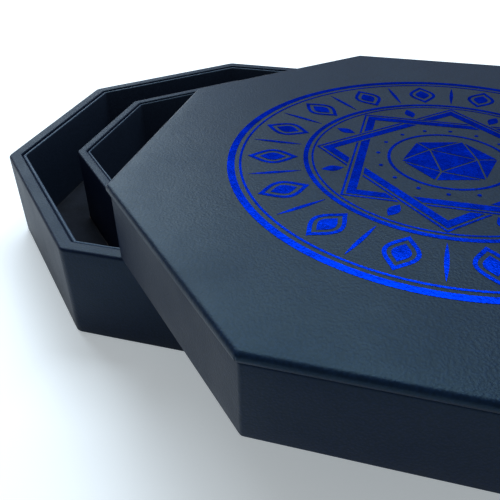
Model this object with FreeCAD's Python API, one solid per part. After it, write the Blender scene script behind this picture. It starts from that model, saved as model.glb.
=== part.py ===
import FreeCAD, Part
import math
import os

# An octagonal dice tray and its lid, built as a box maker builds them: mitred boards
# covered with leatherette, covered card panels glued inside, and padded floors.
# Millimetres, +Z up. The origin is the middle of the tray's underside. The flats
# face 0, 45, 90 ... degrees, and -Y is the front, towards which the lid is slid open.

# Tray, outside
tray_across = 250.0            # flat to flat, over the covering
tray_height = 48.0             # table to rim
wrap_t = 0.9                   # leatherette covering
corner_radius = 2.5            # rounding of the covered upright corners
rim_radius = 0.8               # rounding of the covered rims

# Tray, boards and linings
wall_board_t = 4.8             # outer wall boards of the tray and of the lid
base_board_t = 3.0
bottom_cover_t = 1.2
turn_in = 14.0                 # covering folded under the base, round the cover
liner_t = 2.2                  # covered card panels inside the outer walls
liner_fit = 0.2                # between a panel and the covering behind it
liner_drop = 0.8               # a panel's top edge below the rim
liner_radius = 0.5             # rounding of a panel's top edge
channel_width = 25.2           # clear width of the dice channel
channel_pad_t = 2.0
divider_board_t = 3.0
divider_drop = 0.3             # the divider's top below the rim
arena_liner_t = 1.6
arena_pad_t = 2.5
pad_fit = 0.2                  # between a pad and the walls round it

# Lid
skirt_height = 31.3            # rim to the underside of the top panel
panel_board_t = 2.2
panel_overhang = 1.4           # of the covered top panel, on each side
panel_radius = 1.6             # rounding of the covered top panel's upper edge
lid_pad_t = 2.4

# Closing magnets, a bar in every second wall
magnet_length = 12.0
magnet_width = 3.0
magnet_depth = 2.0
magnet_fit = 0.1

# Where the lid lies on the rims: zero for both is the closed box
lid_shift_x = 20.7
lid_shift_y = -123.5

SIDES = 8
STEP_DEG = 360.0 / SIDES
HALF_STEP = math.radians(STEP_DEG / 2.0)
SIDE_NAMES = ("right", "back_right", "back", "back_left", "left", "front_left", "front", "front_right")

# Half sizes across the flats, from the outside inwards
outer_half = tray_across / 2.0
wall_outer = outer_half - wrap_t
wall_inner = wall_outer - wall_board_t
wrap_inner = wall_inner - wrap_t
liner_outer = wrap_inner - liner_fit
liner_inner = liner_outer - liner_t
divider_wrap_outer = liner_inner - channel_width
divider_outer = divider_wrap_outer - wrap_t
divider_inner = divider_outer - divider_board_t
divider_wrap_inner = divider_inner - wrap_t
arena_liner_outer = divider_wrap_inner - liner_fit
arena_liner_inner = arena_liner_outer - arena_liner_t

# Heights in the tray
base_bottom = bottom_cover_t
base_top = base_bottom + base_board_t
wrap_bottom = base_bottom - wrap_t
wall_top = tray_height - wrap_t
divider_top = tray_height - divider_drop
divider_board_top = divider_top - wrap_t

# Heights in the lid, counted from its rim
panel_thickness = panel_board_t + 2.0 * wrap_t
panel_half = outer_half + panel_overhang
panel_bottom = skirt_height
panel_board_bottom = panel_bottom + wrap_t
panel_board_top = panel_board_bottom + panel_board_t


def octagon(half, z):
    """Flat octagon face with the given half size across its flats."""
    reach = half / math.cos(HALF_STEP)
    angles = [HALF_STEP + math.radians(STEP_DEG * k) for k in range(SIDES)]
    corners = [FreeCAD.Vector(reach * math.cos(a), reach * math.sin(a), z) for a in angles]
    return Part.Face(Part.makePolygon(corners + corners[:1]))


def block(half, low, high):
    """Upright octagonal block."""
    return octagon(half, low).extrude(FreeCAD.Vector(0, 0, high - low))


def ring(outside, inside, low, high):
    """Octagonal ring with square edges."""
    return block(outside, low, high).cut(block(inside, low, high))


def is_upright(edge):
    a, b = (v.Point for v in edge.Vertexes)
    return abs(a.x - b.x) < 1e-6 and abs(a.y - b.y) < 1e-6


def level_edges(shape, z):
    """Edges of a shape that lie at one height."""
    return [e for e in shape.Edges if all(abs(v.Z - z) < 1e-6 for v in e.Vertexes)]


def rounded_block(half, low, high, radius):
    """Octagonal block with rounded upright corners."""
    shape = block(half, low, high)
    return shape.makeFillet(radius, [e for e in shape.Edges if is_upright(e)])


def side_panel(inside, outside, low, high):
    """Mitred board of the right-hand side, between two half sizes across the flats."""
    spread = math.tan(HALF_STEP)
    corners = [
        FreeCAD.Vector(inside, -inside * spread, low),
        FreeCAD.Vector(outside, -outside * spread, low),
        FreeCAD.Vector(outside, outside * spread, low),
        FreeCAD.Vector(inside, inside * spread, low),
    ]
    return Part.Face(Part.makePolygon(corners + corners[:1])).extrude(FreeCAD.Vector(0, 0, high - low))


def round_panel_edges(panel, z, radius):
    """Round the two long edges of a mitred panel at one height."""
    long_edges = [e for e in level_edges(panel, z) if abs(e.Vertexes[0].X - e.Vertexes[1].X) < 1e-6]
    return panel.makeFillet(radius, long_edges)


def at_side(shape, index):
    """Turn a shape made on the right-hand side to another side."""
    turned = shape.copy()
    turned.rotate(FreeCAD.Vector(0, 0, 0), FreeCAD.Vector(0, 0, 1), STEP_DEG * index)
    return turned


def magnet_bar(low, fit):
    """Bar in the middle of the right-hand wall, or its pocket with the fit added."""
    length = magnet_length + 2.0 * fit
    width = magnet_width + 2.0 * fit
    middle = (wall_inner + wall_outer) / 2.0
    corner = FreeCAD.Vector(middle - width / 2.0, -length / 2.0, low)
    return Part.makeBox(width, length, magnet_depth, corner)


def put_lid(shape):
    """Move a lid piece from the lid's own frame to where the lid lies on the rims."""
    placed = shape.copy()
    placed.translate(FreeCAD.Vector(lid_shift_x, lid_shift_y, tray_height))
    return placed


def ring_of_panels(prefix, panel, pocket=None):
    """Eight panels, one to a side, with a pocket cut in every second one if it is given."""
    pieces = {}
    for index, side in enumerate(SIDE_NAMES):
        piece = panel
        if pocket is not None and index % 2 == 0:
            piece = panel.cut(pocket)
        pieces[f"{prefix}_{side}"] = at_side(piece, index)
    return pieces


def magnets(low):
    """The four bars of one rim."""
    bar = magnet_bar(low, 0.0)
    return Part.makeCompound([at_side(bar, index) for index in range(0, SIDES, 2)])


def tray_wrap():
    """Covering of the outer walls: under the base, up the outside, over the rim and down inside."""
    outside = rounded_block(outer_half, wrap_bottom, tray_height, corner_radius)
    shape = outside.cut(block(wrap_inner, base_top, tray_height))
    shape = shape.cut(ring(wall_outer, wall_inner, base_top, wall_top))
    shape = shape.cut(block(wall_outer, base_bottom, base_top))
    shape = shape.cut(block(outer_half - turn_in, wrap_bottom, base_bottom))
    return shape.makeFillet(rim_radius, level_edges(shape, tray_height))


def divider_wrap():
    """Covering of the divider: outside, over the top and down inside."""
    shape = ring(divider_wrap_outer, divider_wrap_inner, base_top, divider_top)
    shape = shape.cut(ring(divider_outer, divider_inner, base_top, divider_board_top))
    return shape.makeFillet(rim_radius, level_edges(shape, divider_top))


def skirt_wrap():
    """Covering of the lid's skirt: outside, under the rim and up inside."""
    outside = rounded_block(outer_half, 0.0, skirt_height, corner_radius)
    shape = outside.cut(block(wrap_inner, 0.0, skirt_height))
    shape = shape.cut(ring(wall_outer, wall_inner, wrap_t, skirt_height))
    return shape.makeFillet(rim_radius, level_edges(shape, 0.0))


def panel_wrap():
    """Covering of the lid's top panel: over the top, round the edge and under it."""
    shape = rounded_block(panel_half, panel_bottom, panel_bottom + panel_thickness, corner_radius)
    shape = shape.makeFillet(panel_radius, level_edges(shape, panel_bottom + panel_thickness))
    shape = shape.cut(block(panel_half - wrap_t, panel_board_bottom, panel_board_top))
    return shape.cut(block(liner_inner, panel_bottom, panel_board_bottom))


def tray_pieces():
    """Every piece of the tray."""
    wall = side_panel(wall_inner, wall_outer, base_top, wall_top)
    pocket = magnet_bar(wall_top - magnet_depth, magnet_fit)
    liner_top = tray_height - liner_drop
    liner = side_panel(liner_inner, liner_outer, base_top, liner_top)
    divider = side_panel(divider_inner, divider_outer, base_top, divider_board_top)
    arena_liner_top = divider_top - liner_drop
    arena_liner = side_panel(arena_liner_inner, arena_liner_outer, base_top, arena_liner_top)
    channel_pad_top = base_top + channel_pad_t

    pieces = {
        "tray_bottom_cover": block(outer_half - turn_in, 0.0, base_bottom),
        "tray_base_board": block(wall_outer, base_bottom, base_top),
        "tray_wall_wrap": tray_wrap(),
        "tray_magnets": magnets(wall_top - magnet_depth),
        "divider_wrap": divider_wrap(),
        "channel_floor_pad": ring(
            liner_inner - pad_fit, divider_wrap_outer + pad_fit, base_top, channel_pad_top
        ),
        "arena_floor_pad": block(arena_liner_inner - pad_fit, base_top, base_top + arena_pad_t),
    }
    pieces.update(ring_of_panels("tray_wall", wall, pocket))
    pieces.update(ring_of_panels("channel_liner", round_panel_edges(liner, liner_top, liner_radius)))
    pieces.update(ring_of_panels("divider_board", divider))
    rounded_arena_liner = round_panel_edges(arena_liner, arena_liner_top, liner_radius)
    pieces.update(ring_of_panels("arena_liner", rounded_arena_liner))
    return pieces


def lid_pieces():
    """Every piece of the lid, in the lid's own frame."""
    wall = side_panel(wall_inner, wall_outer, wrap_t, skirt_height)
    pocket = magnet_bar(wrap_t, magnet_fit)
    liner = side_panel(liner_inner, liner_outer, liner_drop, skirt_height)
    pad_low = panel_board_bottom - lid_pad_t

    pieces = {
        "lid_panel_board": block(panel_half - wrap_t, panel_board_bottom, panel_board_top),
        "lid_panel_wrap": panel_wrap(),
        "lid_skirt_wrap": skirt_wrap(),
        "lid_magnets": magnets(wrap_t),
        "lid_ceiling_pad": block(liner_inner - pad_fit, pad_low, panel_board_bottom),
    }
    pieces.update(ring_of_panels("lid_wall", wall, pocket))
    pieces.update(ring_of_panels("lid_liner", round_panel_edges(liner, liner_drop, liner_radius)))
    return pieces


def main():
    os.makedirs("parts", exist_ok=True)
    pieces = tray_pieces()
    for name, shape in lid_pieces().items():
        pieces[name] = put_lid(shape)
    for name, shape in sorted(pieces.items()):
        shape.exportStep(f"parts/{name}.step")
        print(name, "solids", len(shape.Solids), "volume", round(shape.Volume, 1), "valid", shape.isValid())


main()
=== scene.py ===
import math

import bmesh
import bpy
from bpy.props import FloatProperty, FloatVectorProperty, PointerProperty
from bpy.types import Operator, Panel, PropertyGroup
from mathutils import Matrix, Vector, noise


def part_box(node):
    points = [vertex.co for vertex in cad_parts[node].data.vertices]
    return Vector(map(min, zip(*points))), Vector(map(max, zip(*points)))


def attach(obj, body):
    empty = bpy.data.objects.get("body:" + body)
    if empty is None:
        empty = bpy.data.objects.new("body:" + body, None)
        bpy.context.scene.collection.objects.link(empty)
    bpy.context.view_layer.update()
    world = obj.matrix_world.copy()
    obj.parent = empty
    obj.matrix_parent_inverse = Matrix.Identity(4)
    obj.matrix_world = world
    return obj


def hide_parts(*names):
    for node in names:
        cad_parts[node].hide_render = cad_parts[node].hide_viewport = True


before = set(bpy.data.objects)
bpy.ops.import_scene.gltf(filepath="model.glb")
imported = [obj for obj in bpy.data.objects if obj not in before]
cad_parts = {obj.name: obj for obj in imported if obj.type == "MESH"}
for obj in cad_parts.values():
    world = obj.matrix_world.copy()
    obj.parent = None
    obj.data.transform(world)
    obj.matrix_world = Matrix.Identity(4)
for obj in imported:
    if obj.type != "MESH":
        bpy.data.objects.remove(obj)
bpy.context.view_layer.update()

bl_info = {
    "name": "Octagonal dice tray",
    "version": (1, 0, 0),
    "blender": (4, 5, 0),
    "location": "3D View > Sidebar > Dice tray",
    "description": "Leatherette dice tray with a ring channel, a rolling floor and a printed lid",
    "category": "Object",
}

# All lengths are in metres. A half size is the distance from the middle to a flat.
SIDES = 8
STEP = math.tau / SIDES
HALF_STEP = STEP / 2
SIDE_NAMES = ("right", "back_right", "back", "back_left", "left", "front_left", "front", "front_right")

# How finely the pieces are shaped
GLUE_GAP = 0.00003                  # between a covering and its board, so that neither shows through
COVERING_RUN = 0.006                # longest straight run in the section of a covering
PAD_RUN = 0.007
BOTTOM_RUN = 0.012
SHARP_ANGLE = math.radians(38)      # gentler edges are shaded smooth

# Covered card panels: radii of their top edge, as shares of the thickness, with a limit at the front
LINER_FRONT_SHARE = 0.35
LINER_FRONT_LIMIT = 0.0006
LINER_BACK_SHARE = 0.52

# Padded floors: they roll down towards their edges and end in a rounding
PAD_EDGE_SHARE = 0.8                # radius of the rounding, as a share of the sink
PAD_EDGE_DROP = 0.2                 # how far its centre lies below the sunk edge, as a share of the radius
PAD_ROLL_LIMIT = 0.009              # width of the part that rolls down, at most this
PAD_ROLL_SHARE = 0.4                # and at most this share of the pad's width

# Felt of the underside: rounding of the edge, of the corners, and the least radius inside them
FELT_EDGE_RADIUS = 0.0004
FELT_CORNER_RADIUS = 0.001
FELT_LEAST_RADIUS = 0.0007

# Crease at each corner of the lid's edge: none at the top, full near the bottom, and narrow
CREASE_START = 0.6
CREASE_STEEPNESS = 1.9
CREASE_NARROWNESS = 4.5

# Ornament, in shares of its outer radius. Leaves are given as distance, length and width.
ORNAMENT_RINGS = ((1.0, 0.034), (0.957, 0.011), (0.655, 0.022), (0.624, 0.009), (0.272, 0.014))
STAR_HALF_SIZE = 0.405
STRAP_HALF_WIDTH = 0.030
STRAP_CLEARANCE = 0.010
WIDE_LINE_END, THIN_LINE_START = 0.30, 0.68     # the strap's two lines, in shares of its half width
SMALL_LEAF = (0.545, 0.105, 0.050)
LARGE_LEAF = (0.808, 0.235, 0.142)
LEAF_HOLLOW, LEAF_HEART = 0.76, 0.52            # shares of the large leaf's size
DART = (0.690, 0.925, 0.017)                    # start, end and width
DOT = (0.322, 0.010)                            # distance and radius
DIE_OUTER_RADIUS, DIE_INNER_RADIUS, FACET_GAP = 0.222, 0.128, 0.0045

# Reflection tints of the satin covering and of the foil's grazing edge
SHEEN_TINT = (0.50, 0.88, 1.0, 1.0)
FOIL_EDGE_TINT = (0.20, 0.45, 1.0, 1.0)

# Light. What the camera sees behind the object is white, and what lights it is weaker.
# Each lamp has a name, a place and a power in watts.
WHITE = (1.0, 1.0, 1.0, 1.0)
BACKGROUND_LEVEL = 0.22
LAMP_SIZE = 1.2
LAMP_COLOUR = (0.76, 0.89, 1.0)
LAMP_TARGET = (0.0, -0.05, 0.05)
LAMPS = (("window", (0.0, 1.588, 1.197), 22.5), ("ceiling", (0.643, 0.716, 1.782), 31.0))
FLOOR_REACH = 6.0
FLOOR_GLOW = 0.34                               # near the object, where the floor keeps the shadow
# cool tint of the floor's glow near the object, which the object's sides reflect
FLOOR_GLOW_TINT = (0.86, 0.95, 1.0, 1.0)
FLOOR_FADE_START, FLOOR_FADE_END = 0.7, 2.0     # distances between which it fades to white

# Camera: place, turn in degrees as yaw, pitch and roll, and millimetres of lens and sensor
CAMERA_PLACE = (-0.15617, -0.27696, 0.19589)
CAMERA_TURN = (-28.874, -35.257, -0.867)
CAMERA_LENS, CAMERA_SENSOR = 43.78, 36.0
CAMERA_NEAREST = 0.01


def half_size(node):
    """Half the size of an octagonal node across its flats."""
    low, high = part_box(node)
    return (high.x - low.x) / 2


def side_range(prefix):
    """Nearest and farthest distance of a ring of panels from the middle, and its heights."""
    low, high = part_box(prefix + "_right")
    return low.x, high.x, low.z, high.z


def lid_side_range(prefix):
    """The same for a ring of panels in the lid, counted from the lid's middle."""
    near, far, low, high = side_range(prefix)
    return near - LID_MIDDLE.x, far - LID_MIDDLE.x, low, high


# Places read from the frame
lid_low, lid_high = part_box("lid_skirt_wrap")
LID_MIDDLE = Vector(((lid_low.x + lid_high.x) / 2, (lid_low.y + lid_high.y) / 2, 0))
RIM_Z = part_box("tray_wall_wrap")[1].z
LID_TOP_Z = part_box("lid_panel_wrap")[1].z


class DiceTraySizes(PropertyGroup):
    """Sizes of the soft details that the boards don't fix."""

    tray_corner_radius: FloatProperty(
        name="Tray corner radius",
        description="Rounding of the tray's covered upright corners",
        default=0.0055, min=0.0005, unit="LENGTH")
    lid_corner_radius: FloatProperty(
        name="Lid corner radius",
        description="Rounding of the lid's and the divider's upright corners",
        default=0.0021, min=0.0005, unit="LENGTH")
    inner_corner_radius: FloatProperty(
        name="Inner corner radius",
        description="Rounding of the covering's and the linings' inward corners",
        default=0.0018, min=0.0002, unit="LENGTH")
    outer_rim_radius: FloatProperty(
        name="Outer rim radius",
        description="Rounding of the outer edge of the tray's rim and of the skirt's top",
        default=0.0015, min=0.0002, unit="LENGTH")
    rim_radius: FloatProperty(
        name="Rim radius", description="Rounding of the other covered rims",
        default=0.0009, min=0.0002, unit="LENGTH")
    panel_radius: FloatProperty(
        name="Lid edge radius", description="Rounding of the lid panel's upper edge",
        default=0.0021, min=0.0002, unit="LENGTH")
    panel_under_radius: FloatProperty(
        name="Lid underside radius", description="Rounding of the lid panel's lower edge",
        default=0.0016, min=0.0002, unit="LENGTH")
    unevenness: FloatProperty(
        name="Unevenness", description="How far the glued covering dips below its true plane",
        default=0.00010, min=0.0, unit="LENGTH")
    fold_depth: FloatProperty(
        name="Corner fold",
        description="Depth of the folded covering's crease at each corner of the lid's edge",
        default=0.0005, min=0.0, unit="LENGTH")
    liner_crown: FloatProperty(
        name="Liner crown", description="Swell of the covered card panels",
        default=0.00035, min=0.0, unit="LENGTH")
    pad_sink: FloatProperty(
        name="Pad edge sink", description="How far a floor pad's edge lies below its middle",
        default=0.0011, min=0.0, unit="LENGTH")
    print_radius: FloatProperty(
        name="Ornament radius", description="Radius of the foil ornament's outer ring",
        default=0.088, min=0.01, unit="LENGTH")
    print_height: FloatProperty(
        name="Foil height", description="Height of the foil above the covering",
        default=0.00005, min=0.00001, unit="LENGTH")


class DiceTrayColours(PropertyGroup):
    """Colours of the finishes."""

    leatherette: FloatVectorProperty(
        name="Leatherette", description="Colour of the fine-grained covering",
        subtype="COLOR", size=3, default=(0.0042, 0.0092, 0.0380), min=0.0, max=1.0)
    # Colour of the lid top's covering: the leatherette made lighter and more teal, a painted sheen of the
    # light on the lid's top
    lid_top_with_painted_sheen: FloatVectorProperty(
        name="Pressed leatherette", description="Colour of the lid panel's covering",
        subtype="COLOR", size=3, default=(0.0042, 0.0150, 0.0480), min=0.0, max=1.0)
    lining: FloatVectorProperty(
        name="Lining", description="Colour of the smooth covering of the inner panels",
        subtype="COLOR", size=3, default=(0.0380, 0.0600, 0.1120), min=0.0, max=1.0)
    padding: FloatVectorProperty(
        name="Padding", description="Colour of the padded floors",
        subtype="COLOR", size=3, default=(0.0100, 0.0130, 0.0210), min=0.0, max=1.0)
    foil: FloatVectorProperty(
        name="Foil", description="Colour of the metallic print",
        subtype="COLOR", size=3, default=(0.0, 0.030, 0.55), min=0.0, max=1.0)
    floor: FloatVectorProperty(
        name="Floor", description="Colour of the studio floor",
        subtype="COLOR", size=3, default=(0.90, 0.91, 0.92), min=0.0, max=1.0)


def sizes():
    return bpy.context.scene.dice_tray_sizes


def colours():
    return bpy.context.scene.dice_tray_colours


# Materials

class Nodes:
    """Small helper that adds and joins nodes of one material."""

    def __init__(self, name):
        self.material = bpy.data.materials.new(name)
        self.material.use_nodes = True
        self.tree = self.material.node_tree
        self.shader = self.tree.nodes["Principled BSDF"]
        self.place = self.add("ShaderNodeTexCoord").outputs["Object"]

    def add(self, kind, **settings):
        node = self.tree.nodes.new(kind)
        for key, value in settings.items():
            setattr(node, key, value)
        return node

    def join(self, source, target):
        self.tree.links.new(source, target)

    def noise(self, scale, detail=2.0, roughness=0.5):
        """Soft random pattern; a larger scale is finer."""
        node = self.add("ShaderNodeTexNoise")
        node.inputs["Scale"].default_value = scale
        node.inputs["Detail"].default_value = detail
        node.inputs["Roughness"].default_value = roughness
        self.join(self.place, node.inputs["Vector"])
        return node.outputs["Fac"]

    def cells(self, scale):
        """Distance from the middle of rounded cells."""
        node = self.add("ShaderNodeTexVoronoi", feature="SMOOTH_F1")
        node.inputs["Scale"].default_value = scale
        self.join(self.place, node.inputs["Vector"])
        return node.outputs["Distance"]

    def stretch(self, value, low, high, to_low=0.0, to_high=1.0):
        """Bring a value from one range to another, and no further."""
        node = self.add("ShaderNodeMapRange")
        node.inputs["From Min"].default_value = low
        node.inputs["From Max"].default_value = high
        node.inputs["To Min"].default_value = to_low
        node.inputs["To Max"].default_value = to_high
        self.join(value, node.inputs["Value"])
        return node.outputs["Result"]

    def maths(self, operation, a, b):
        node = self.add("ShaderNodeMath", operation=operation)
        for socket, value in zip(node.inputs, (a, b)):
            if isinstance(value, (int, float)):
                socket.default_value = value
            else:
                self.join(value, socket)
        return node.outputs["Value"]

    def blend(self, factor, first, second):
        """Mix two colours, each a tuple or the output of a node."""
        node = self.add("ShaderNodeMix", data_type="RGBA")
        self.join(factor, node.inputs["Factor"])
        for socket, value in ((node.inputs["A"], first), (node.inputs["B"], second)):
            if isinstance(value, tuple):
                socket.default_value = value
            else:
                self.join(value, socket)
        return node.outputs["Result"]

    def relief(self, height, distance, strength=1.0, below=None):
        """Normal of a fine relief, on top of the one below it."""
        node = self.add("ShaderNodeBump")
        node.inputs["Strength"].default_value = strength
        node.inputs["Distance"].default_value = distance
        self.join(height, node.inputs["Height"])
        if below is not None:
            self.join(below, node.inputs["Normal"])
        return node.outputs["Normal"]


def shade(colour, factor):
    """A colour made lighter or darker, with full alpha."""
    return tuple(min(1.0, c * factor) for c in colour) + (1.0,)


def leather_grain(nodes, cell, depth):
    """Pebbled grain of a leatherette: rounded cells of one size, broken up by a finer one."""
    pebbles = nodes.stretch(nodes.cells(1.0 / cell), 0.0, 0.75, 1.0, 0.0)
    fine = nodes.noise(scale=2.4 / cell, detail=3.0, roughness=0.6)
    height = nodes.maths("ADD", pebbles, nodes.maths("MULTIPLY", fine, 0.55))
    waves = nodes.relief(nodes.noise(scale=55.0), distance=0.0005, strength=0.35)
    return pebbles, nodes.relief(height, distance=depth, strength=0.8, below=waves)


def leatherette_material(name, colour, cell=0.0008, depth=0.00007, roughness=0.5, specular=0.18):
    """Satin, fine-grained artificial leather, with painted shade in the hollows of its grain."""
    nodes = Nodes(name)
    pebbles, normal = leather_grain(nodes, cell, depth)
    patches = nodes.noise(scale=38.0, detail=4.0)
    mottled = nodes.blend(patches, shade(colour, 0.80), shade(colour, 1.22))
    # painted shade: the grain's hollows are darkened to 0.55 of the colour
    shaded_hollows = nodes.blend(nodes.stretch(pebbles, 0.25, 1.0), shade(colour, 0.55), mottled)
    nodes.join(shaded_hollows, nodes.shader.inputs["Base Color"])
    rubs = nodes.noise(scale=24.0, detail=5.0, roughness=0.6)
    rubbed = nodes.stretch(rubs, 0.3, 0.7, roughness - 0.05, roughness + 0.06)
    nodes.join(rubbed, nodes.shader.inputs["Roughness"])
    nodes.join(normal, nodes.shader.inputs["Normal"])
    nodes.shader.inputs["Specular IOR Level"].default_value = specular
    nodes.shader.inputs["Specular Tint"].default_value = SHEEN_TINT
    return nodes.material


def foil_material(colour):
    """Hot-stamped metallic foil that lets the grain below show through."""
    nodes = Nodes("blue_foil")
    pebbles, normal = leather_grain(nodes, cell=0.0009, depth=0.000028)
    streaks = nodes.noise(scale=160.0, detail=4.0, roughness=0.7)
    shimmer = nodes.blend(nodes.stretch(streaks, 0.3, 0.7), shade(colour, 0.82), shade(colour, 1.0))
    thin = nodes.stretch(pebbles, 0.1, 0.5)
    nodes.join(nodes.blend(thin, shade(colour, 0.62), shimmer), nodes.shader.inputs["Base Color"])
    nodes.shader.inputs["Metallic"].default_value = 1.0
    nodes.shader.inputs["Specular Tint"].default_value = FOIL_EDGE_TINT
    nodes.join(nodes.stretch(streaks, 0.2, 0.8, 0.22, 0.32), nodes.shader.inputs["Roughness"])
    nodes.join(normal, nodes.shader.inputs["Normal"])
    return nodes.material


def padding_material(colour):
    """Short brushed pile over thin foam."""
    nodes = Nodes("brushed_padding")
    pile = nodes.noise(scale=2600.0, detail=3.0, roughness=0.7)
    brushed = nodes.noise(scale=70.0, detail=5.0, roughness=0.65)
    tone = nodes.blend(nodes.stretch(brushed, 0.3, 0.7), shade(colour, 0.7), shade(colour, 1.5))
    nodes.join(tone, nodes.shader.inputs["Base Color"])
    swirls = nodes.relief(brushed, distance=0.0006, strength=0.4)
    normal = nodes.relief(pile, distance=0.0002, strength=0.7, below=swirls)
    nodes.join(normal, nodes.shader.inputs["Normal"])
    nodes.shader.inputs["Roughness"].default_value = 0.95
    nodes.shader.inputs["Specular IOR Level"].default_value = 0.15
    nodes.shader.inputs["Sheen Weight"].default_value = 0.12
    nodes.shader.inputs["Sheen Roughness"].default_value = 0.45
    return nodes.material


def felt_material():
    """Pressed felt of the underside."""
    colour = (0.012, 0.012, 0.014)
    nodes = Nodes("pressed_felt")
    fibres = nodes.noise(scale=1500.0, detail=6.0, roughness=0.75)
    tone = nodes.blend(nodes.stretch(fibres, 0.3, 0.7), shade(colour, 0.6), shade(colour, 1.8))
    nodes.join(tone, nodes.shader.inputs["Base Color"])
    normal = nodes.relief(fibres, distance=0.0003, strength=0.8)
    nodes.join(normal, nodes.shader.inputs["Normal"])
    nodes.shader.inputs["Roughness"].default_value = 1.0
    nodes.shader.inputs["Specular IOR Level"].default_value = 0.1
    return nodes.material


def fibreboard_material():
    """Bare brown fibreboard of the hidden boards."""
    colour = (0.36, 0.24, 0.14)
    nodes = Nodes("bare_fibreboard")
    fibres = nodes.noise(scale=900.0, detail=6.0, roughness=0.7)
    specks = nodes.noise(scale=220.0, detail=3.0, roughness=0.6)
    tone = nodes.blend(nodes.stretch(fibres, 0.35, 0.65), shade(colour, 0.75), shade(colour, 1.15))
    tone = nodes.blend(nodes.stretch(specks, 0.62, 0.72, 0.0, 0.5), tone, shade(colour, 0.45))
    nodes.join(tone, nodes.shader.inputs["Base Color"])
    normal = nodes.relief(fibres, distance=0.0001, strength=0.6)
    nodes.join(normal, nodes.shader.inputs["Normal"])
    nodes.shader.inputs["Roughness"].default_value = 0.85
    return nodes.material


def plated_material():
    """Nickel-plated closing magnets."""
    colour = (0.62, 0.60, 0.57)
    nodes = Nodes("plated_magnet")
    scratches = nodes.noise(scale=700.0, detail=5.0, roughness=0.7)
    tone = nodes.blend(scratches, shade(colour, 0.85), shade(colour, 1.1))
    nodes.join(tone, nodes.shader.inputs["Base Color"])
    nodes.join(nodes.stretch(scratches, 0.3, 0.7, 0.2, 0.38), nodes.shader.inputs["Roughness"])
    nodes.shader.inputs["Metallic"].default_value = 1.0
    return nodes.material


MATERIAL_MAKERS = {
    "leatherette": lambda: leatherette_material("grained_leatherette", colours().leatherette),
    # the lid top's leatherette, lighter and more teal than the rest: painted sheen
    "lid_top_with_painted_sheen": lambda: leatherette_material(
        "lid_top_leatherette_painted_sheen", colours().lid_top_with_painted_sheen, roughness=0.42, specular=0.20),
    "lining": lambda: leatherette_material(
        "smooth_lining", colours().lining, cell=0.0007, depth=0.00003, roughness=0.48, specular=0.23),
    "foil": lambda: foil_material(colours().foil),
    "padding": lambda: padding_material(colours().padding),
    "felt": felt_material,
    "fibreboard": fibreboard_material,
    "plated": plated_material,
}
made_materials = {}


def material(name):
    """One of the finishes, made when it is first asked for."""
    if name not in made_materials:
        made_materials[name] = MATERIAL_MAKERS[name]()
    return made_materials[name]


# Shapes that follow the octagon

def arc(centre, radius, start, end, steps):
    """Points of a profile's rounded edge; angles in degrees, 0 points outwards and 90 up."""
    turns = [math.radians(start + (end - start) * k / steps) for k in range(steps + 1)]
    return [(centre[0] + radius * math.cos(a), centre[1] + radius * math.sin(a)) for a in turns]


def filled(profile, longest):
    """A profile with its long straight runs cut into shorter ones."""
    points = []
    for a, b in zip(profile, profile[1:] + profile[:1]):
        count = max(1, math.ceil(math.dist(a, b) / longest))
        shares = [k / count for k in range(count)]
        points += [(a[0] + (b[0] - a[0]) * share, a[1] + (b[1] - a[1]) * share) for share in shares]
    return points


def filled_open(profile, longest):
    """Like filled, for a profile that starts and ends on the axis."""
    points = filled(profile, longest)
    return points[:points.index(profile[-1]) + 1]


class Octagon:
    """Places points round an octagon whose outer corners are rounded."""

    def __init__(self, outer_half, corner_radius, inner_radius, along=14, round_steps=8):
        self.outer_half = outer_half
        self.corner_radius = corner_radius
        self.inner_radius = inner_radius
        straight = [(k / along * 2 - 1, None) for k in range(along + 1)]
        rounded = [(None, k / round_steps) for k in range(1, round_steps)]
        self.stations = [(side, *station) for side in range(SIDES) for station in straight + rounded]
        half_turn = round_steps // 2
        before = [(-1, None, k / round_steps) for k in range(half_turn, round_steps)]
        after = [(0, None, k / round_steps) for k in range(1, half_turn + 1)]
        self.one_side = before + [(0, *station) for station in straight] + after

    def place(self, half, height, station):
        """The point of a station at a half size and a height."""
        side, along, turn = station
        radius = max(self.inner_radius, self.corner_radius - (self.outer_half - half))
        radius = min(half / 2, radius)
        if turn is None:
            flat = Vector((half, along * (half - radius) * math.tan(HALF_STEP)))
        else:
            out = Vector((math.cos(turn * STEP), math.sin(turn * STEP)))
            middle = (half - radius) * Vector((1.0, math.tan(HALF_STEP)))
            flat = middle + radius * out
        cosine, sine = math.cos(side * STEP), math.sin(side * STEP)
        return Vector((flat.x * cosine - flat.y * sine, flat.x * sine + flat.y * cosine, height))


def slow_waves(point, station):
    """How far the glued covering lies below its true plane."""
    waves_per_metre = 38.0
    return sizes().unevenness * (0.5 + 0.5 * noise.noise(point * waves_per_metre))


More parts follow.
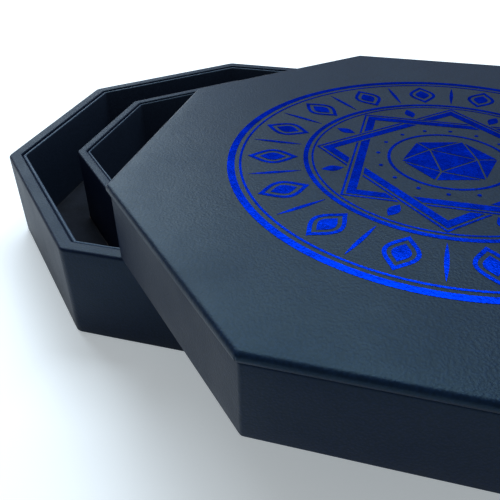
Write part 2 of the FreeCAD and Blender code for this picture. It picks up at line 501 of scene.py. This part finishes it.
def swept_octagon(name, outline, profile, dip=slow_waves, offset=None, one_side=False):
    """Profile swept round the octagon: a closed ring, or a solid if it starts and ends on the axis.

    The profile runs counter-clockwise in (half size, height), with the solid on its left.
    One side alone reaches from the middle of one corner to the middle of the next."""
    stations = outline.one_side if one_side else outline.stations
    rows, count = len(profile), len(stations)
    on_axis = [half < 1e-7 for half, _ in profile]
    grid, verts = [], []
    for j, (half, height) in enumerate(profile):
        run = (Vector(profile[(j + 1) % rows]) - Vector(profile[j - 1])).normalized()
        if on_axis[j]:
            verts.append(Vector((0, 0, height)))
            grid.append([len(verts) - 1] * count)
            continue
        for station in stations:
            point = outline.place(half, height, station)
            angle = (station[0] + (station[2] or 0.0)) * STEP
            outward = Vector((run.y * math.cos(angle), run.y * math.sin(angle), -run.x))
            if dip is not None:
                point -= outward * dip(point, station)
            verts.append(point)
        grid.append(list(range(len(verts) - count, len(verts))))
    faces = []
    for j in range(rows):
        k = (j + 1) % rows
        if on_axis[j] and on_axis[k]:
            continue
        for i in range(count - 1 if one_side else count):
            n = (i + 1) % count
            corners = (grid[j][i], grid[j][n], grid[k][n], grid[k][i])
            faces.append(tuple(dict.fromkeys(corners)))
    if one_side:
        faces += [tuple(row[0] for row in grid), tuple(row[-1] for row in reversed(grid))]
    mesh = bpy.data.meshes.new(name)
    mesh.from_pydata([tuple(v + (offset or Vector())) for v in verts], [], faces)
    return finish_mesh(mesh)


def finish_mesh(mesh):
    """Merge doubles, point the faces outwards and shade smooth except over sharp edges."""
    work = bmesh.new()
    work.from_mesh(mesh)
    bmesh.ops.remove_doubles(work, verts=work.verts, dist=1e-7)
    bmesh.ops.recalc_face_normals(work, faces=work.faces)
    work.to_mesh(mesh)
    work.free()
    mesh.shade_smooth()
    mesh.set_sharp_from_angle(angle=SHARP_ANGLE)
    return mesh


def add_piece(name, mesh, body, finish, replaced):
    """Link a finished mesh as a piece that rides on a body and stands for its nodes."""
    piece = bpy.data.objects.new(name, mesh)
    bpy.context.scene.collection.objects.link(piece)
    mesh.materials.clear()
    mesh.materials.append(material(finish))
    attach(piece, body)
    if replaced:
        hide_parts(*replaced)
    return piece


# Copies round the middle

def ring_tree():
    """Geometry Nodes group that sets copies of its mesh round the upright axis."""
    tree = bpy.data.node_groups.get("copies_round_middle")
    if tree is not None:
        return tree
    tree = bpy.data.node_groups.new("copies_round_middle", "GeometryNodeTree")
    sockets = tree.interface
    sockets.new_socket("Geometry", in_out="INPUT", socket_type="NodeSocketGeometry")
    sockets.new_socket("Copies", in_out="INPUT", socket_type="NodeSocketInt")
    sockets.new_socket("Finish", in_out="INPUT", socket_type="NodeSocketMaterial")
    sockets.new_socket("Geometry", in_out="OUTPUT", socket_type="NodeSocketGeometry")
    add, join = tree.nodes.new, tree.links.new
    given, result = add("NodeGroupInput"), add("NodeGroupOutput")
    points = add("GeometryNodePoints")
    index = add("GeometryNodeInputIndex")
    step = add("ShaderNodeMath")
    step.operation = "DIVIDE"
    step.inputs[0].default_value = math.tau
    turn = add("ShaderNodeMath")
    turn.operation = "MULTIPLY"
    euler = add("ShaderNodeCombineXYZ")
    copies = add("GeometryNodeInstanceOnPoints")
    real = add("GeometryNodeRealizeInstances")
    paint = add("GeometryNodeSetMaterial")
    join(given.outputs["Copies"], points.inputs["Count"])
    join(given.outputs["Copies"], step.inputs[1])
    join(index.outputs["Index"], turn.inputs[0])
    join(step.outputs["Value"], turn.inputs[1])
    join(turn.outputs["Value"], euler.inputs["Z"])
    join(points.outputs[0], copies.inputs["Points"])
    join(given.outputs["Geometry"], copies.inputs["Instance"])
    join(euler.outputs["Vector"], copies.inputs["Rotation"])
    join(copies.outputs["Instances"], real.inputs["Geometry"])
    join(real.outputs["Geometry"], paint.inputs["Geometry"])
    join(given.outputs["Finish"], paint.inputs["Material"])
    join(paint.outputs["Geometry"], result.inputs["Geometry"])
    return tree


def copies_round_middle(name, mesh, count, finish, offset=None):
    """Real copies of a mesh round the upright axis, as one mesh."""
    source = bpy.data.objects.new(name + "_source", mesh)
    bpy.context.scene.collection.objects.link(source)
    modifier = source.modifiers.new("copies", "NODES")
    tree = ring_tree()
    modifier.node_group = tree
    keys = {item.name: item.identifier for item in tree.interface.items_tree if item.in_out == "INPUT"}
    modifier[keys["Copies"]] = count
    modifier[keys["Finish"]] = material(finish)
    shaped = source.evaluated_get(bpy.context.evaluated_depsgraph_get())
    result = bpy.data.meshes.new_from_object(shaped)
    source.modifiers.remove(modifier)
    bpy.data.objects.remove(source)
    if offset is not None:
        result.transform(Matrix.Translation(offset))
    result.name = name
    return result


# Pieces of the tray

class DICETRAY_OT_wall_covering(Operator):
    """Leatherette over the tray's walls: folded under the base, over the rim and down inside"""

    bl_idname = "dice_tray.wall_covering"
    bl_label = "Wall covering"

    def execute(self, context):
        s = sizes()
        outer = half_size("tray_wall_wrap")
        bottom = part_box("tray_wall_wrap")[0].z
        wall_in, wall_out, base_top, wall_top = side_range("tray_wall")
        base_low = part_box("tray_base_board")[0].z
        cover_half = half_size("tray_bottom_cover")
        skin = outer - wall_out
        inner = wall_in - skin
        r = s.rim_radius
        edge = s.outer_rim_radius
        profile = [(cover_half + GLUE_GAP, bottom)]
        profile += arc((outer - r, bottom + r), r, -90, 0, 4)
        profile += arc((outer - edge, RIM_Z - edge), edge, 0, 90, 7)
        profile += arc((inner + r, RIM_Z - r), r, 90, 180, 5)
        profile += [(inner, base_top + GLUE_GAP), (wall_in - GLUE_GAP, base_top + GLUE_GAP)]
        profile += [(wall_in - GLUE_GAP, wall_top + GLUE_GAP), (wall_out + GLUE_GAP, wall_top + GLUE_GAP)]
        profile += [(wall_out + GLUE_GAP, base_low - GLUE_GAP), (cover_half + GLUE_GAP, base_low - GLUE_GAP)]
        outline = Octagon(outer, s.tray_corner_radius, s.inner_corner_radius)
        mesh = swept_octagon("wall_covering", outline, filled(profile, COVERING_RUN))
        add_piece("wall_covering", mesh, "tray", "leatherette", ["tray_wall_wrap"])
        return {"FINISHED"}


class DICETRAY_OT_divider_covering(Operator):
    """Leatherette over the divider between the channel and the rolling floor"""

    bl_idname = "dice_tray.divider_covering"
    bl_label = "Divider covering"

    def execute(self, context):
        s = sizes()
        low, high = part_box("divider_wrap")
        outer = half_size("divider_wrap")
        board_in, board_out, _, board_top = side_range("divider_board")
        inner = board_in - (outer - board_out)
        r = s.rim_radius
        profile = [(board_out + GLUE_GAP, low.z), (outer, low.z)]
        profile += arc((outer - r, high.z - r), r, 0, 90, 5)
        profile += arc((inner + r, high.z - r), r, 90, 180, 5)
        profile += [(inner, low.z), (board_in - GLUE_GAP, low.z)]
        profile += [(board_in - GLUE_GAP, board_top + GLUE_GAP), (board_out + GLUE_GAP, board_top + GLUE_GAP)]
        outline = Octagon(outer, s.lid_corner_radius, s.inner_corner_radius)
        mesh = swept_octagon("divider_covering", outline, filled(profile, COVERING_RUN))
        add_piece("divider_covering", mesh, "tray", "leatherette", ["divider_wrap"])
        return {"FINISHED"}


def liner_profile(near, far, low, high, crown, steps=8):
    """Section of a covered card panel that stands on low, with a rounded, slightly swollen front."""
    front = min(LINER_FRONT_LIMIT, (far - near) * LINER_FRONT_SHARE)
    back = (far - near) * LINER_BACK_SHARE
    face = near + crown
    straight = high - front - low
    down = [k / steps for k in range(steps + 1)]
    swell = [(face - crown * math.sin(math.pi * share), low + straight * (1 - share)) for share in down]
    shoulder = arc((far - back, high - back), back, 0, 90, 5)
    return [(far, low), *shoulder, *arc((face + front, high - front), front, 90, 165, 4), *swell]


def ring_of_liners(name, prefix, body, lid=False):
    """The eight covered panels of one ring, as one piece."""
    near, far, low, high = lid_side_range(prefix) if lid else side_range(prefix)
    section = liner_profile(near, far, low, high, sizes().liner_crown)
    if lid:
        section = [(half, low + high - height) for half, height in reversed(section)]
    outline = Octagon(far, sizes().inner_corner_radius, sizes().inner_corner_radius)
    panel = swept_octagon(name, outline, section, dip=None, one_side=True)
    mesh = copies_round_middle(name, panel, SIDES, "lining", LID_MIDDLE if lid else None)
    nodes = [f"{prefix}_{side}" for side in SIDE_NAMES]
    return add_piece(name, mesh, body, "lining", nodes)


class DICETRAY_OT_tray_liners(Operator):
    """Covered card panels round the channel and round the rolling floor"""

    bl_idname = "dice_tray.tray_liners"
    bl_label = "Tray liners"

    def execute(self, context):
        ring_of_liners("channel_liners", "channel_liner", "tray")
        ring_of_liners("rolling_floor_liners", "arena_liner", "tray")
        return {"FINISHED"}


def pad_profile(inner, outer, low, high, sink, steps=4):
    """Profile of a floor pad whose edges roll down; inner 0 makes a solid octagon."""
    r = min(high - low, sink) * PAD_EDGE_SHARE
    edge = arc((outer - r, high - sink - r * PAD_EDGE_DROP), r, 0, 70, 5)
    reach = min(PAD_ROLL_LIMIT, (outer - inner) * PAD_ROLL_SHARE)
    roll = [(outer - reach * k / steps, high - sink * (1 - k / steps) ** 2) for k in range(1, steps + 1)]
    outside = [(outer, low), *edge, *roll]
    if inner > 0:
        return outside + [(inner + (outer - half), height) for half, height in reversed(outside)]
    return [(0.0, low), *outside, (0.0, high)]


def add_pad(name, node, body, inner, offset=None, flip=False):
    """A padded floor in the place of its node."""
    low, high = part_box(node)
    outer = half_size(node)
    profile = pad_profile(inner, outer, low.z, high.z, sizes().pad_sink)
    if flip:
        profile = [(half, low.z + high.z - height) for half, height in reversed(profile)]
    outline = Octagon(outer, sizes().inner_corner_radius, sizes().inner_corner_radius)
    profile = filled(profile, PAD_RUN) if inner > 0 else filled_open(profile, PAD_RUN)
    mesh = swept_octagon(name, outline, profile, offset=offset)
    piece = add_piece(name, mesh, body, "padding", [node])
    return piece


class DICETRAY_OT_floor_pads(Operator):
    """Padded floors of the channel and of the rolling space"""

    bl_idname = "dice_tray.floor_pads"
    bl_label = "Floor pads"

    def execute(self, context):
        divider = half_size("divider_wrap")
        fit = side_range("channel_liner")[0] - half_size("channel_floor_pad")
        add_pad("channel_floor", "channel_floor_pad", "tray", divider + fit)
        add_pad("rolling_floor", "arena_floor_pad", "tray", 0.0)
        return {"FINISHED"}


class DICETRAY_OT_bottom_cover(Operator):
    """Felt on the tray's underside"""

    bl_idname = "dice_tray.bottom_cover"
    bl_label = "Bottom cover"

    def execute(self, context):
        low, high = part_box("tray_bottom_cover")
        outer = half_size("tray_bottom_cover")
        r = FELT_EDGE_RADIUS
        profile = [(0.0, low.z), *arc((outer - r, low.z + r), r, -90, 0, 3), (outer, high.z), (0.0, high.z)]
        outline = Octagon(outer, FELT_CORNER_RADIUS, FELT_LEAST_RADIUS)
        mesh = swept_octagon("bottom_cover", outline, filled_open(profile, BOTTOM_RUN), dip=None)
        add_piece("bottom_cover", mesh, "tray", "felt", ["tray_bottom_cover"])
        return {"FINISHED"}


# Pieces of the lid

class DICETRAY_OT_skirt_covering(Operator):
    """Leatherette over the lid's skirt: outside, under the rim and up inside"""

    bl_idname = "dice_tray.skirt_covering"
    bl_label = "Skirt covering"

    def execute(self, context):
        s = sizes()
        low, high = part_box("lid_skirt_wrap")
        outer = half_size("lid_skirt_wrap")
        wall_in, wall_out, wall_low, _ = lid_side_range("lid_wall")
        inner = wall_in - (outer - wall_out)
        r = s.rim_radius
        edge = s.outer_rim_radius
        profile = [(wall_in - GLUE_GAP, high.z), (inner, high.z)]
        profile += arc((inner + r, low.z + r), r, 180, 270, 5)
        profile += arc((outer - r, low.z + r), r, 270, 360, 5)
        profile += arc((outer - edge, high.z - edge), edge, 0, 80, 6)
        profile += [(wall_out + GLUE_GAP, high.z), (wall_out + GLUE_GAP, wall_low - GLUE_GAP)]
        profile += [(wall_in - GLUE_GAP, wall_low - GLUE_GAP)]
        outline = Octagon(outer, s.lid_corner_radius, s.inner_corner_radius)
        mesh = swept_octagon("skirt_covering", outline, filled(profile, COVERING_RUN), offset=LID_MIDDLE)
        add_piece("skirt_covering", mesh, "lid", "leatherette", ["lid_skirt_wrap"])
        return {"FINISHED"}


class DICETRAY_OT_panel_covering(Operator):
    """Leatherette over the lid's top panel: over the top, round the edge and under it"""

    bl_idname = "dice_tray.panel_covering"
    bl_label = "Panel covering"

    def execute(self, context):
        s = sizes()
        low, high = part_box("lid_panel_wrap")
        outer = half_size("lid_panel_wrap")
        board = half_size("lid_panel_board")
        board_low, board_high = (corner.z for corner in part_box("lid_panel_board"))
        folded_to = lid_side_range("lid_liner")[0]
        top = high.z - s.print_height
        r = s.panel_radius
        under = s.panel_under_radius
        profile = [(0.0, board_high + GLUE_GAP), (board + GLUE_GAP, board_high + GLUE_GAP)]
        profile += [(board + GLUE_GAP, board_low - GLUE_GAP)]
        profile += [(folded_to, board_low - GLUE_GAP), (folded_to, low.z)]
        profile += arc((outer - under, low.z + under), under, -90, 0, 4)
        profile += arc((outer - r, top - r), r, 0, 90, 6)
        profile += [(0.0, top)]
        outline = Octagon(outer, s.lid_corner_radius, s.inner_corner_radius, along=26, round_steps=12)

        def dip(point, station):
            """Slow waves, and a crease where the covering is folded round a corner of the edge."""
            down = (top - point.z) / (top - low.z)
            side_on = min(1.0, max(0.0, down * CREASE_STEEPNESS - CREASE_START))
            across = 0.0
            if station[2] is not None:
                across = max(0.0, 1.0 - abs(station[2] - 0.5) * CREASE_NARROWNESS)
            return slow_waves(point, station) + s.fold_depth * side_on * across

        profile = filled_open(profile, COVERING_RUN)
        mesh = swept_octagon("panel_covering", outline, profile, dip, LID_MIDDLE)
        add_piece("panel_covering", mesh, "lid", "lid_top_with_painted_sheen", ["lid_panel_wrap"])
        return {"FINISHED"}


class DICETRAY_OT_lid_lining(Operator):
    """Covered card panels inside the skirt and the padding under the top panel"""

    bl_idname = "dice_tray.lid_lining"
    bl_label = "Lid lining"

    def execute(self, context):
        ring_of_liners("lid_liners", "lid_liner", "lid", lid=True)
        add_pad("lid_ceiling", "lid_ceiling_pad", "lid", 0.0, offset=LID_MIDDLE, flip=True)
        return {"FINISHED"}


# Foil ornament: an eight-fold star of two laced squares in a ring of leaves, round a twenty-sided die

def polar(radius, degrees):
    return (radius * math.cos(math.radians(degrees)), radius * math.sin(math.radians(degrees)))


def scaled(shares, r):
    return [share * r for share in shares]


class Foil:
    """Collects flat shapes of the ornament and gives them the foil's thickness."""

    def __init__(self):
        self.points = []
        self.faces = []

    def number(self, points):
        """Keep new points and tell their numbers."""
        self.points += points
        return range(len(self.points) - len(points), len(self.points))

    def face(self, corners):
        """Keep a face by its points' numbers, turned so that it looks up."""
        places = [self.points[k] for k in corners]
        turned = sum(a[0] * b[1] - b[0] * a[1] for a, b in zip(places, places[1:] + places[:1]))
        self.faces.append(tuple(corners) if turned > 0 else tuple(reversed(corners)))

    def strip(self, left, right, closed=False):
        """Band between two rows of points."""
        a, b = self.number(left), self.number(right)
        last = len(a) if closed else len(a) - 1
        for i in range(last):
            k = (i + 1) % len(a)
            self.face((a[i], b[i], b[k], a[k]))

    def plate(self, points):
        """Solid convex shape."""
        self.face(self.number(points))

    def dot(self, place, radius, corners=10):
        """Small round dot."""
        rim = [polar(radius, 360 * k / corners) for k in range(corners)]
        self.plate([(place[0] + x, place[1] + y) for x, y in rim])

    def ring(self, radius, width, steps=160):
        """Full ring, its radius taken to the middle of the line."""
        turns = [360 * k / steps for k in range(steps)]
        outside = [polar(radius + width / 2, turn) for turn in turns]
        inside = [polar(radius - width / 2, turn) for turn in turns]
        self.strip(outside, inside, closed=True)

    def dart(self, start, end, width, degrees, steps=8, blunt=0.12):
        """Thin spindle that points away from the middle."""
        cosine, sine = polar(1.0, degrees)
        left, right = [], []
        for k in range(steps + 1):
            along = start + (end - start) * k / steps
            half = width / 2 * (blunt + math.sin(math.pi * k / steps))
            left.append((along * cosine - half * sine, along * sine + half * cosine))
            right.append((along * cosine + half * sine, along * sine - half * cosine))
        self.strip(left, right)

    def mesh(self, name, height):
        """The shapes as thin plates from 0 up to the foil's height."""
        count = len(self.points)
        edges = [edge for face in self.faces for edge in zip(face, face[1:] + face[:1])]
        inside = set(edges)
        sides = [(a, b, b + count, a + count) for a, b in edges if (b, a) not in inside]
        bottoms = [face[::-1] for face in self.faces]
        tops = [tuple(k + count for k in face) for face in self.faces]
        verts = [(x, y, z) for z in (0.0, height) for x, y in self.points]
        mesh = bpy.data.meshes.new(name)
        mesh.from_pydata(verts, [], bottoms + tops + sides)
        return mesh


def leaf(distance, length, width, degrees, share=1.0, steps=12, slimness=1.15):
    """Outline of a pointed leaf that points away from the middle, at a share of its size."""
    side = []
    for k in range(steps + 1):
        half = width / 2 * math.sin(math.pi * k / steps) ** slimness
        side.append((length * (k / steps - 0.5) * share, half * share))
    points = side + [(x, -y) for x, y in reversed(side[1:-1])]
    cosine, sine = polar(1.0, degrees)
    return [((distance + x) * cosine - y * sine, (distance + x) * sine + y * cosine) for x, y in points]


def laced_side(foil, half, near, far, clear):
    """One side of a laced square between two half sizes: whole where it passes over the
    next square, open where it passes under the one before."""
    root = math.sqrt(2)
    under = root * half + root * clear
    over = root * half - root * clear
    foil.plate([(near, -near), (far, -far), (far, far - under), (near, near - under)])
    foil.plate([(near, near - over), (far, far - over), (far, far), (near, near)])


def inset(a, b, c, gap):
    """A triangle made smaller by the same gap on each side."""
    sides = (math.dist(b, c), math.dist(c, a), math.dist(a, b))
    total = sum(sides)
    middle = [sum(side * corner[i] for side, corner in zip(sides, (a, b, c))) / total for i in (0, 1)]
    area = abs((b[0] - a[0]) * (c[1] - a[1]) - (c[0] - a[0]) * (b[1] - a[1])) / 2
    share = 1 - gap * total / (2 * area)
    return [tuple(middle[i] + (corner[i] - middle[i]) * share for i in (0, 1)) for corner in (a, b, c)]


def ornament_wedge(r, height):
    """An eighth of the ornament, for an outer radius r."""
    foil = Foil()
    star, strap = STAR_HALF_SIZE * r, STRAP_HALF_WIDTH * r
    clear = strap + STRAP_CLEARANCE * r
    laced_side(foil, star, star - strap, star + strap * WIDE_LINE_END, clear)
    laced_side(foil, star, star + strap * THIN_LINE_START, star + strap, clear)
    foil.plate(leaf(*scaled(SMALL_LEAF, r), 22.5))
    dot_distance, dot_radius = scaled(DOT, r)
    for turn in (0.0, 22.5):
        foil.dart(*scaled(DART, r), turn)
        foil.dot(polar(dot_distance, turn), dot_radius)
    large = scaled(LARGE_LEAF, r)
    for turn in (11.25, 33.75):
        foil.strip(leaf(*large, turn), leaf(*large, turn, LEAF_HOLLOW), closed=True)
        foil.plate(leaf(*large, turn, LEAF_HEART))
    return foil.mesh("ornament_wedge", height)


def ornament_rings(r, height):
    """The full rings of the ornament and the facets of the die in its middle."""
    foil = Foil()
    for ring in ORNAMENT_RINGS:
        foil.ring(*scaled(ring, r))
    outer = {turn % 360: polar(DIE_OUTER_RADIUS * r, turn) for turn in range(30, 390, 60)}
    inner = [polar(DIE_INNER_RADIUS * r, turn) for turn in (90, 210, 330)]
    facets = [tuple(inner)]
    for k, turn in enumerate((90, 210, 330)):
        before, after = outer[(turn - 60) % 360], outer[(turn + 60) % 360]
        facets.append((inner[k], inner[(k + 1) % 3], after))
        facets.append((inner[k], outer[turn], after))
        facets.append((inner[k], outer[turn], before))
    for facet in facets:
        foil.plate(inset(*facet, FACET_GAP * r))
    return foil.mesh("ornament_rings", height)


class DICETRAY_OT_foil_ornament(Operator):
    """Metallic blue print on the lid: a laced star in a ring of leaves"""

    bl_idname = "dice_tray.foil_ornament"
    bl_label = "Foil ornament"

    def execute(self, context):
        s = sizes()
        place = LID_MIDDLE + Vector((0, 0, LID_TOP_Z - s.print_height))
        wedge = ornament_wedge(s.print_radius, s.print_height)
        star = copies_round_middle("foil_star", wedge, SIDES, "foil", place)
        add_piece("foil_star", star, "lid", "foil", [])
        rings = ornament_rings(s.print_radius, s.print_height)
        rings.transform(Matrix.Translation(place))
        add_piece("foil_rings", rings, "lid", "foil", [])
        return {"FINISHED"}


class DICETRAY_OT_hidden_boards(Operator):
    """Finish of the boards and magnets under the coverings"""

    bl_idname = "dice_tray.hidden_boards"
    bl_label = "Boards and magnets"

    def execute(self, context):
        for name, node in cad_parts.items():
            if node.hide_render:
                continue
            finish = "plated" if "magnets" in name else "fibreboard"
            node.data.materials.clear()
            node.data.materials.append(material(finish))
        return {"FINISHED"}


# Stage

def studio_floor():
    """Pale floor that keeps the shadow near the object. It glows to the camera, in reflections and through
    glass, faintly and cool-tinted near the object, where the object's sides reflect it, and up to white
    farther off.
    """
    mesh = bpy.data.meshes.new("studio_floor")
    corners = [(x * FLOOR_REACH, y * FLOOR_REACH, 0) for x, y in ((-1, -1), (1, -1), (1, 1), (-1, 1))]
    mesh.from_pydata(corners, [], [(0, 1, 2, 3)])
    floor = bpy.data.objects.new("studio_floor", mesh)
    bpy.context.scene.collection.objects.link(floor)
    nodes = Nodes("studio_floor")
    nodes.shader.inputs["Base Color"].default_value = shade(colours().floor, 1.0)
    nodes.shader.inputs["Roughness"].default_value = 0.9
    nodes.shader.inputs["Specular IOR Level"].default_value = 0.0
    rays = nodes.add("ShaderNodeLightPath")
    seen = nodes.maths("MAXIMUM", rays.outputs["Is Camera Ray"], rays.outputs["Is Glossy Ray"])
    seen = nodes.maths("MAXIMUM", seen, rays.outputs["Is Transmission Ray"])
    away = nodes.add("ShaderNodeVectorMath", operation="LENGTH")
    nodes.join(nodes.place, away.inputs[0])
    far = nodes.stretch(away.outputs["Value"], FLOOR_FADE_START, FLOOR_FADE_END)
    tone = nodes.blend(far, FLOOR_GLOW_TINT, WHITE)
    nodes.join(tone, nodes.shader.inputs["Emission Color"])
    glow = nodes.stretch(far, 0.0, 1.0, FLOOR_GLOW, 1.0)
    nodes.join(nodes.maths("MULTIPLY", seen, glow), nodes.shader.inputs["Emission Strength"])
    mesh.materials.append(nodes.material)


def studio_world():
    """Even pale light; the camera and glass see plain white."""
    world = bpy.data.worlds.new("studio_world")
    world.use_nodes = True
    tree = world.node_tree
    back = tree.nodes["Background"]
    back.inputs["Color"].default_value = WHITE
    rays = tree.nodes.new("ShaderNodeLightPath")
    seen = tree.nodes.new("ShaderNodeMath")
    seen.operation = "MAXIMUM"
    tree.links.new(rays.outputs["Is Camera Ray"], seen.inputs[0])
    tree.links.new(rays.outputs["Is Transmission Ray"], seen.inputs[1])
    level = tree.nodes.new("ShaderNodeMapRange")
    level.inputs["To Min"].default_value = BACKGROUND_LEVEL
    level.inputs["To Max"].default_value = 1.0
    tree.links.new(seen.outputs["Value"], level.inputs["Value"])
    tree.links.new(level.outputs["Result"], back.inputs["Strength"])
    bpy.context.scene.world = world


def soft_light(name, place, power):
    """Square soft lamp that faces the object."""
    data = bpy.data.lights.new(name, "AREA")
    data.size = LAMP_SIZE
    data.energy = power
    data.color = LAMP_COLOUR
    lamp = bpy.data.objects.new(name, data)
    lamp.location = place
    lamp.rotation_mode = "QUATERNION"
    lamp.rotation_quaternion = (Vector(LAMP_TARGET) - Vector(place)).to_track_quat("-Z", "Y")
    bpy.context.scene.collection.objects.link(lamp)


def camera():
    """The photograph's point of view."""
    yaw, pitch, roll = (math.radians(turn) for turn in CAMERA_TURN)
    data = bpy.data.cameras.new("camera")
    data.sensor_width = CAMERA_SENSOR
    data.lens = CAMERA_LENS
    data.clip_start = CAMERA_NEAREST
    eye = bpy.data.objects.new("camera", data)
    turned = Matrix.Rotation(yaw, 4, "Z") @ Matrix.Rotation(math.radians(90) + pitch, 4, "X")
    eye.matrix_world = Matrix.Translation(CAMERA_PLACE) @ turned @ Matrix.Rotation(roll, 4, "Z")
    bpy.context.scene.collection.objects.link(eye)
    bpy.context.scene.camera = eye


class DICETRAY_OT_stage(Operator):
    """Pale floor, soft studio light and the camera"""

    bl_idname = "dice_tray.stage"
    bl_label = "Stage"

    def execute(self, context):
        studio_floor()
        studio_world()
        for lamp in LAMPS:
            soft_light(*lamp)
        camera()
        context.scene.view_settings.view_transform = "Standard"
        return {"FINISHED"}


PIECE_OPERATORS = (
    DICETRAY_OT_wall_covering,
    DICETRAY_OT_divider_covering,
    DICETRAY_OT_tray_liners,
    DICETRAY_OT_floor_pads,
    DICETRAY_OT_bottom_cover,
    DICETRAY_OT_skirt_covering,
    DICETRAY_OT_panel_covering,
    DICETRAY_OT_lid_lining,
    DICETRAY_OT_foil_ornament,
    DICETRAY_OT_hidden_boards,
    DICETRAY_OT_stage,
)


class DICETRAY_PT_sidebar(Panel):
    """Lists the sizes, the colours and the pieces of the dice tray"""

    bl_idname = "DICETRAY_PT_sidebar"
    bl_label = "Dice tray"
    bl_space_type = "VIEW_3D"
    bl_region_type = "UI"
    bl_category = "Dice tray"

    def draw(self, context):
        for group in (context.scene.dice_tray_sizes, context.scene.dice_tray_colours):
            box = self.layout.box()
            for key in type(group).__annotations__:
                box.prop(group, key)
        for operator in PIECE_OPERATORS:
            self.layout.operator(operator.bl_idname)


CLASSES = (DiceTraySizes, DiceTrayColours, *PIECE_OPERATORS, DICETRAY_PT_sidebar)


def register():
    for cls in CLASSES:
        bpy.utils.register_class(cls)
    bpy.types.Scene.dice_tray_sizes = PointerProperty(type=DiceTraySizes)
    bpy.types.Scene.dice_tray_colours = PointerProperty(type=DiceTrayColours)


def unregister():
    del bpy.types.Scene.dice_tray_colours
    del bpy.types.Scene.dice_tray_sizes
    for cls in reversed(CLASSES):
        bpy.utils.unregister_class(cls)


def main():
    register()
    for operator in PIECE_OPERATORS:
        group, name = operator.bl_idname.split(".")
        getattr(getattr(bpy.ops, group), name)()


if __name__ == "__main__":
    main()
